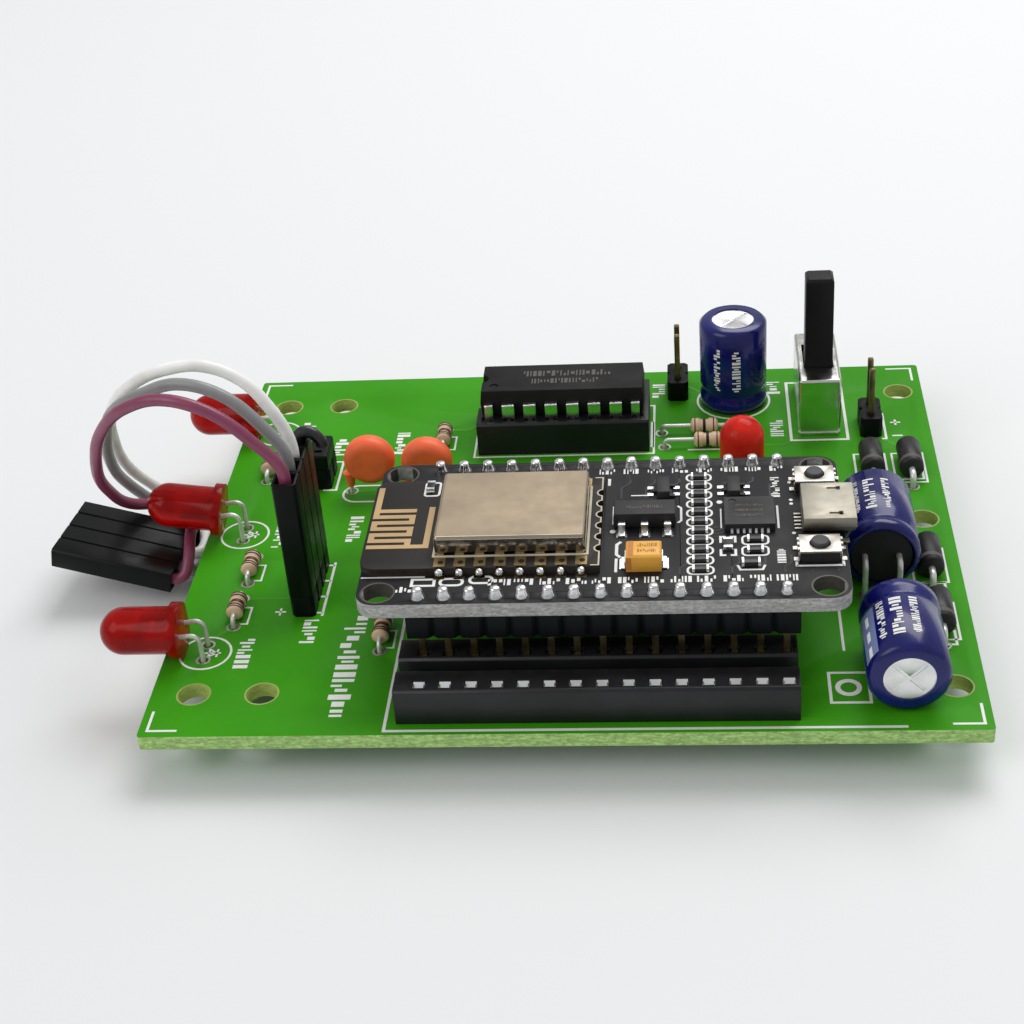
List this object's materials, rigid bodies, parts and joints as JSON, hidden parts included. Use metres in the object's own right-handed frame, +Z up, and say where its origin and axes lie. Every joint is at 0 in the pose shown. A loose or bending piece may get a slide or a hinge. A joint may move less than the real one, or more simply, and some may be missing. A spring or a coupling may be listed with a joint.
{
  "type": "microcontroller dev board",
  "caption": "Wi-Fi microcontroller board plugged into a green robot carrier board with driver chip, LEDs, capacitors, slide switch and jumper lead.",
  "frame": {"origin": "centre of the four corner holes, on the carrier board's underside", "axes": "+Z up out of the component side, +X to the right towards the USB socket, +Y to the back"},
  "size_m": [0.1001, 0.0702, 0.033],
  "materials": {
    "green_board": "gloss solder mask",
    "black_board": "satin solder mask",
    "socket_plastic": "satin",
    "tin_contacts": "bright tin",
    "tin_leads": "tinned wire",
    "solder": "bright solder",
    "chip_plastic": "fine matte",
    "blue_sleeve": "shrink sleeve",
    "can_aluminium": "bare",
    "bung_rubber": "matte",
    "winding_foil": "paper and foil roll",
    "red_lens": "tinted epoxy",
    "resistor_ceramic": "lacquer",
    "diode_epoxy": "moulded",
    "disc_epoxy": "dipped coating",
    "header_plastic": "moulded",
    "pin_brass": "plated",
    "plug_plastic": "moulded",
    "wire_violet": "insulation",
    "wire_grey": "insulation",
    "wire_white": "insulation",
    "wire_black": "insulation",
    "switch_steel": "plated",
    "switch_base": "phenolic",
    "switch_black": "moulded",
    "antenna_copper": "under mask",
    "shield_nickel": "plated",
    "tantalum_yellow": "moulded",
    "chip_part_ceramic": "glazed",
    "usb_steel": "plated",
    "button_steel": "plated",
    "button_grey": "moulded"
  },
  "bodies": {
    "carrier": {"base_board": "green_board", "solder_joints": "solder", "outer_socket_strip": "socket_plastic", "inner_socket_strip": "socket_plastic", "rear_socket_strip": "socket_plastic", "socket_contacts": "tin_contacts", "driver_socket": "socket_plastic", "driver_socket_contacts": "tin_contacts", "capacitor_sleeves": "blue_sleeve", "capacitor_cans": "can_aluminium", "capacitor_bungs": "bung_rubber", "capacitor_windings": "winding_foil", "component_leads": "tin_leads", "side_led_lenses": "red_lens", "power_led_lens": "red_lens", "led_leads": "tin_leads", "resistor_bodies": "resistor_ceramic", "diode_bodies": "diode_epoxy", "ceramic_discs": "disc_epoxy", "header_housings": "header_plastic", "header_pins": "pin_brass", "jumper_cap": "header_plastic", "sensor_plug": "plug_plastic", "free_plug": "plug_plastic", "plug_contacts": "tin_contacts", "violet_wire": "wire_violet", "grey_wire": "wire_grey", "white_wire": "wire_white", "black_wire": "wire_black", "switch_can": "switch_steel", "switch_base": "switch_base", "switch_terminals": "tin_contacts"},
    "slider": {"switch_slider": "switch_black", "switch_bridge": "tin_contacts"},
    "driver": {"driver_chip": "chip_plastic", "driver_chip_leads": "tin_leads"},
    "reset_button": {"reset_plunger": "button_grey"},
    "flash_button": {"flash_plunger": "button_grey"},
    "mcu": {"mcu_board": "black_board", "mcu_header_strips": "header_plastic", "mcu_header_pins": "pin_brass", "mcu_solder": "solder", "wifi_board": "black_board", "wifi_antenna": "antenna_copper", "wifi_shield": "shield_nickel", "wifi_processor": "chip_plastic", "wifi_flash_chip": "chip_plastic", "wifi_crystal": "button_steel", "regulator": "chip_plastic", "regulator_legs": "tin_leads", "tantalum_capacitor": "tantalum_yellow", "usb_serial_chip": "chip_plastic", "chip_components": "chip_part_ceramic", "small_transistors": "chip_plastic", "usb_shell": "usb_steel", "usb_tongue": "header_plastic", "button_frames": "button_steel", "button_housings": "button_grey"}
  },
  "joints": [
    {"name": "slide_switch", "type": "slide", "parent": "carrier", "child": "slider", "axis": [0, 1, 0], "range_m": [0, 0.0025]},
    {"name": "lift_mcu", "type": "slide", "parent": "carrier", "child": "mcu", "axis": [0, 0, 1], "range_m": [0, 0.014]},
    {"name": "lift_driver", "type": "slide", "parent": "carrier", "child": "driver", "axis": [0, 0, 1], "range_m": [0, 0.008]},
    {"name": "press_reset", "type": "slide", "parent": "mcu", "child": "reset_button", "axis": [0, 0, -1], "range_m": [0, 0.00025]},
    {"name": "press_flash", "type": "slide", "parent": "mcu", "child": "flash_button", "axis": [0, 0, -1], "range_m": [0, 0.00025]}
  ]
}
